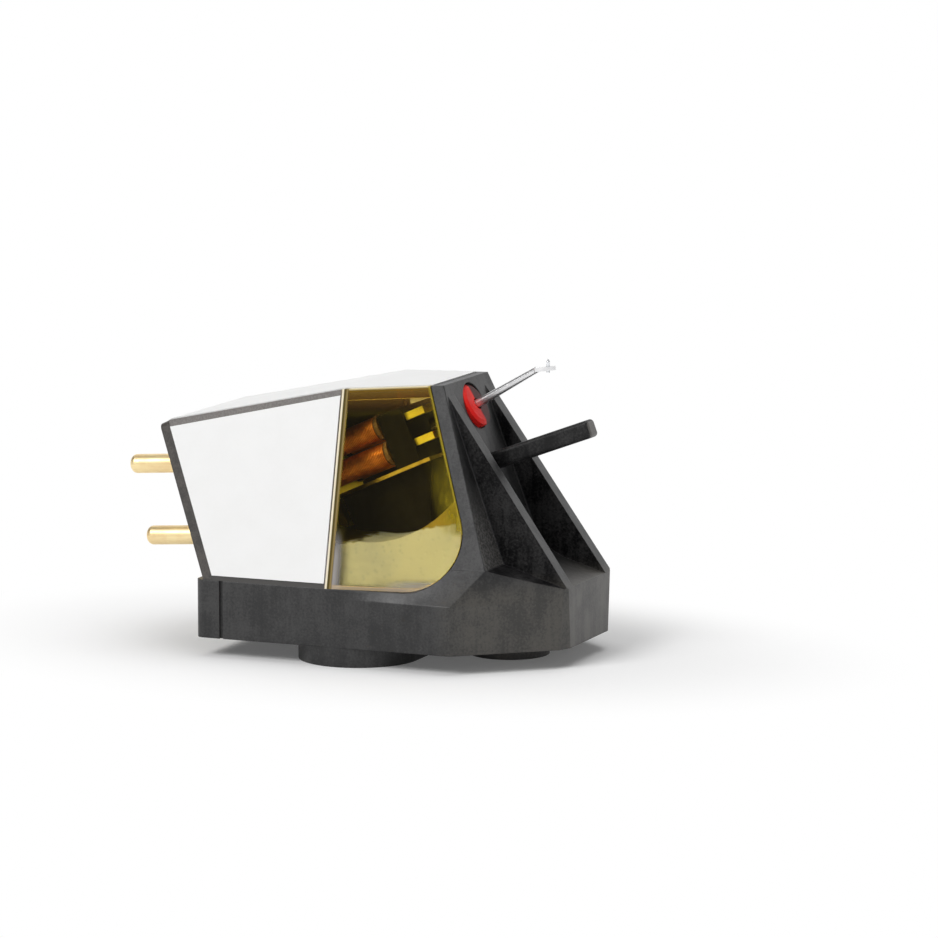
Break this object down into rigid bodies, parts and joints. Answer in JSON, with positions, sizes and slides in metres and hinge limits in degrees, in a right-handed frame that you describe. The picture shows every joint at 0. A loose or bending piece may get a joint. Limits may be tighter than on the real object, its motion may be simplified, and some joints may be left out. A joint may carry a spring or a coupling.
{
  "type": "turntable stylus cartridge",
  "caption": "Phono cartridge with a black moulded body, clear tinted cover over its coils, blank white panels, rear terminal pins, and a sprung cantilever with a diamond stylus.",
  "frame": {"origin": "on the mounting face, midway between the main screw holes", "axes": "+X forward towards the stylus, +Y to the left-hand side, +Z away from the headshell, so the part stands upside down on its mounting face as in the picture"},
  "size_m": [0.0298, 0.0172, 0.0184],
  "materials": {
    "body_black": "matte, fine grain of a filled moulding",
    "cover_yellow": "clear, yellow tint, polished",
    "label_white": "satin white film",
    "plate_black": "matte",
    "pin_gold": "gold plated, polished",
    "mark_red": "satin",
    "mark_green": "satin",
    "mark_white": "satin",
    "mark_blue": "satin",
    "damper_red": "satin elastomer",
    "arm_aluminium": "polished tube",
    "diamond": "polished",
    "magnet_nickel": "nickel plated",
    "collar_brass": "turned",
    "winding_copper": "enamelled wire",
    "bobbin_brown": "moulded",
    "pole_nickel": "bright nickel alloy",
    "screen_nickel": "bright sheet",
    "carrier_black": "matte moulding",
    "potting_pale": "cured resin",
    "lead_copper": "enamelled"
  },
  "bodies": {
    "housing": {"body": "body_black", "clear_cover": "cover_yellow", "left_label": "label_white", "right_label": "label_white", "underside_label": "label_white", "terminal_plate": "plate_black", "yoke": "pole_nickel", "screen_plate": "screen_nickel", "coil_carrier": "carrier_black", "potting_fill": "potting_pale", "upper_left_pin": "pin_gold", "upper_left_ring": "mark_white", "upper_left_pole": "pole_nickel", "upper_left_bobbin": "bobbin_brown", "upper_left_winding": "winding_copper", "upper_left_lead": "lead_copper", "lower_left_pin": "pin_gold", "lower_left_ring": "mark_blue", "lower_left_pole": "pole_nickel", "lower_left_bobbin": "bobbin_brown", "lower_left_winding": "winding_copper", "lower_left_lead": "lead_copper", "upper_right_pin": "pin_gold", "upper_right_ring": "mark_red", "upper_right_pole": "pole_nickel", "upper_right_bobbin": "bobbin_brown", "upper_right_winding": "winding_copper", "upper_right_lead": "lead_copper", "lower_right_pin": "pin_gold", "lower_right_ring": "mark_green", "lower_right_pole": "pole_nickel", "lower_right_bobbin": "bobbin_brown", "lower_right_winding": "winding_copper", "lower_right_lead": "lead_copper"},
    "suspension": {"damper": "damper_red"},
    "stylus_assembly": {"cantilever": "arm_aluminium", "stylus": "diamond", "magnet_collar": "collar_brass", "magnet": "magnet_nickel"}
  },
  "joints": [
    {"name": "lateral_deflection", "type": "hinge", "parent": "housing", "child": "suspension", "pos_m": [0.0047, 0, 0.0153], "axis": [0, 0, 1], "range_deg": [-3, 3], "stiffness_Nm_per_rad": 0.0036, "deforming": ["damper"]},
    {"name": "vertical_deflection", "type": "hinge", "parent": "suspension", "child": "stylus_assembly", "pos_m": [0.0047, 0, 0.0153], "axis": [0, 1, 0], "range_deg": [-2, 7], "stiffness_Nm_per_rad": 0.0036, "deforming": ["damper"]}
  ]
}
